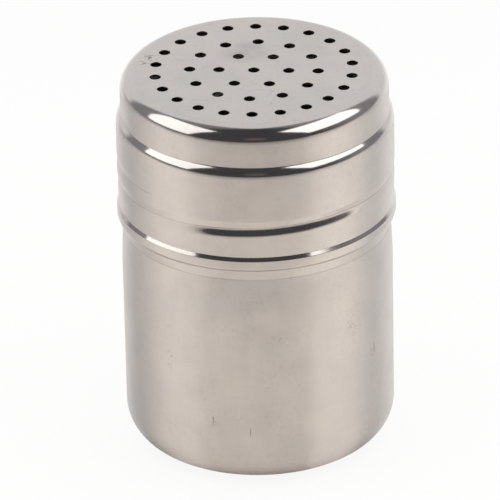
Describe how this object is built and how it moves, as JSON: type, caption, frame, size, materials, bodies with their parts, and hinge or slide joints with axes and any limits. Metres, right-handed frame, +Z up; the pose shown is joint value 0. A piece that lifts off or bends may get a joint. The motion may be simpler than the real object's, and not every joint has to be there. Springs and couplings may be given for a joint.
{
  "type": "shaker dispenser",
  "caption": "Free-standing round steel shaker: a drawn cup with rounded base corner and a screw lid with perforated flat top for sprinkling spice, salt or sugar.",
  "frame": {"origin": "middle of the cup's flat base", "axes": "+Z up along the cup's axis, -Y towards the viewer of the picture, +X to the viewer's right"},
  "size_m": [0.0704, 0.0704, 0.1009],
  "materials": {
    "cup_steel": "satin polished stainless steel, drawn in one piece",
    "lid_steel": "satin polished stainless steel, with polished rounded edges",
    "seal_rubber": "matt off-white food-grade rubber"
  },
  "bodies": {
    "cup": {"cup": "cup_steel"},
    "seal": {"seal_ring": "seal_rubber"},
    "lid": {"perforated_lid": "lid_steel"}
  },
  "joints": [
    {"name": "lid_rise", "type": "slide", "parent": "cup", "child": "seal", "axis": [0, 0, 1], "range_m": [0, 0.0061]},
    {"name": "lid_turn", "type": "hinge", "parent": "seal", "child": "lid", "pos_m": [0, 0, 0.08], "axis": [0, 0, 1], "range_deg": [0, 420]}
  ],
  "couplings": [
    {"joint": "lid_rise", "follows": "lid_turn", "m_per_rad": 0.00082761}
  ]
}
